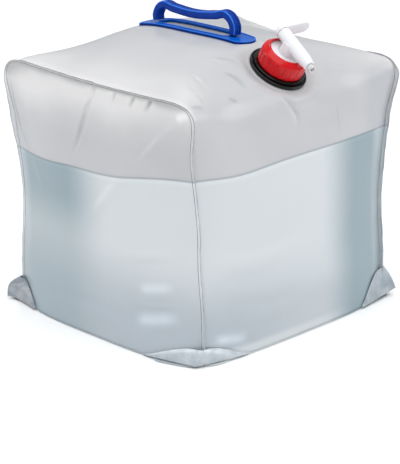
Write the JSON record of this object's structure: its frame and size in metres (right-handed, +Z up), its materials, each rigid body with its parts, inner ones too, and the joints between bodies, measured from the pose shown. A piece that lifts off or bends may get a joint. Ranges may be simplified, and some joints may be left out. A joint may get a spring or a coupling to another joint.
{
  "type": "collapsible water carrier",
  "caption": "Cube-shaped clear film bag partly filled with water, with folded corner tabs, a carrying handle on an oval plate and a lever tap clamped on a tilted neck by a screw ring.",
  "frame": {"origin": "centre of the bag's bottom, on the surface it stands on", "axes": "+Z up; the handle runs along Y and the tap leans towards -Y; the welded end panels face -X and +X"},
  "size_m": [0.3286, 0.3149, 0.3242],
  "materials": {
    "clear_film": "frosted clear film",
    "tab_film": "frosted clear film, folded double",
    "water": "clear water",
    "blue_grip_plastic": "satin",
    "blue_plate_plastic": "satin",
    "black_plastic": "gloss",
    "black_rubber": "satin",
    "grey_rubber": "matt",
    "red_plastic": "satin",
    "white_plastic": "satin"
  },
  "bodies": {
    "bag": {"wrap_film": "clear_film", "left_end_film": "clear_film", "right_end_film": "clear_film", "base_film": "clear_film", "corner_tab_front_left": "tab_film", "corner_tab_front_right": "tab_film", "corner_tab_back_right": "tab_film", "corner_tab_back_left": "tab_film", "water_fill": "water"},
    "top_fittings": {"handle_base_plate": "blue_plate_plastic", "handle_grip": "blue_grip_plastic", "neck_gasket": "black_rubber", "neck_fitment": "black_plastic", "neck_inner_nut": "black_plastic"},
    "tap_carrier": {"tap_seal_washer": "grey_rubber"},
    "ring": {"screw_ring": "red_plastic"},
    "tap": {"tap_body": "white_plastic", "tap_outlet": "white_plastic"},
    "plug": {"tap_plug": "white_plastic", "plug_seal_front": "black_rubber", "plug_seal_rear": "black_rubber"}
  },
  "joints": [
    {"name": "collapse", "type": "slide", "parent": "bag", "child": "top_fittings", "axis": [0, 0, 1], "range_m": [-0.15, 0], "deforming": ["wrap_film", "left_end_film", "right_end_film", "water_fill"]},
    {"name": "tap_lift_off", "type": "slide", "parent": "top_fittings", "child": "tap_carrier", "axis": [0, -0.5373, 0.8434], "range_m": [0, 0.08]},
    {"name": "ring_turn", "type": "hinge", "parent": "tap_carrier", "child": "ring", "pos_m": [0, -0.1072, 0.27116], "axis": [0, -0.5373, 0.8434], "continuous": true},
    {"name": "tap_swivel", "type": "hinge", "parent": "tap_carrier", "child": "tap", "pos_m": [0, -0.1072, 0.27116], "axis": [0, -0.5373, 0.8434], "continuous": true},
    {"name": "tap_turn", "type": "hinge", "parent": "tap", "child": "plug", "pos_m": [0, -0.12628, 0.3011], "axis": [-0.1564, -0.833, -0.5307], "range_deg": [0, 90]}
  ]
}
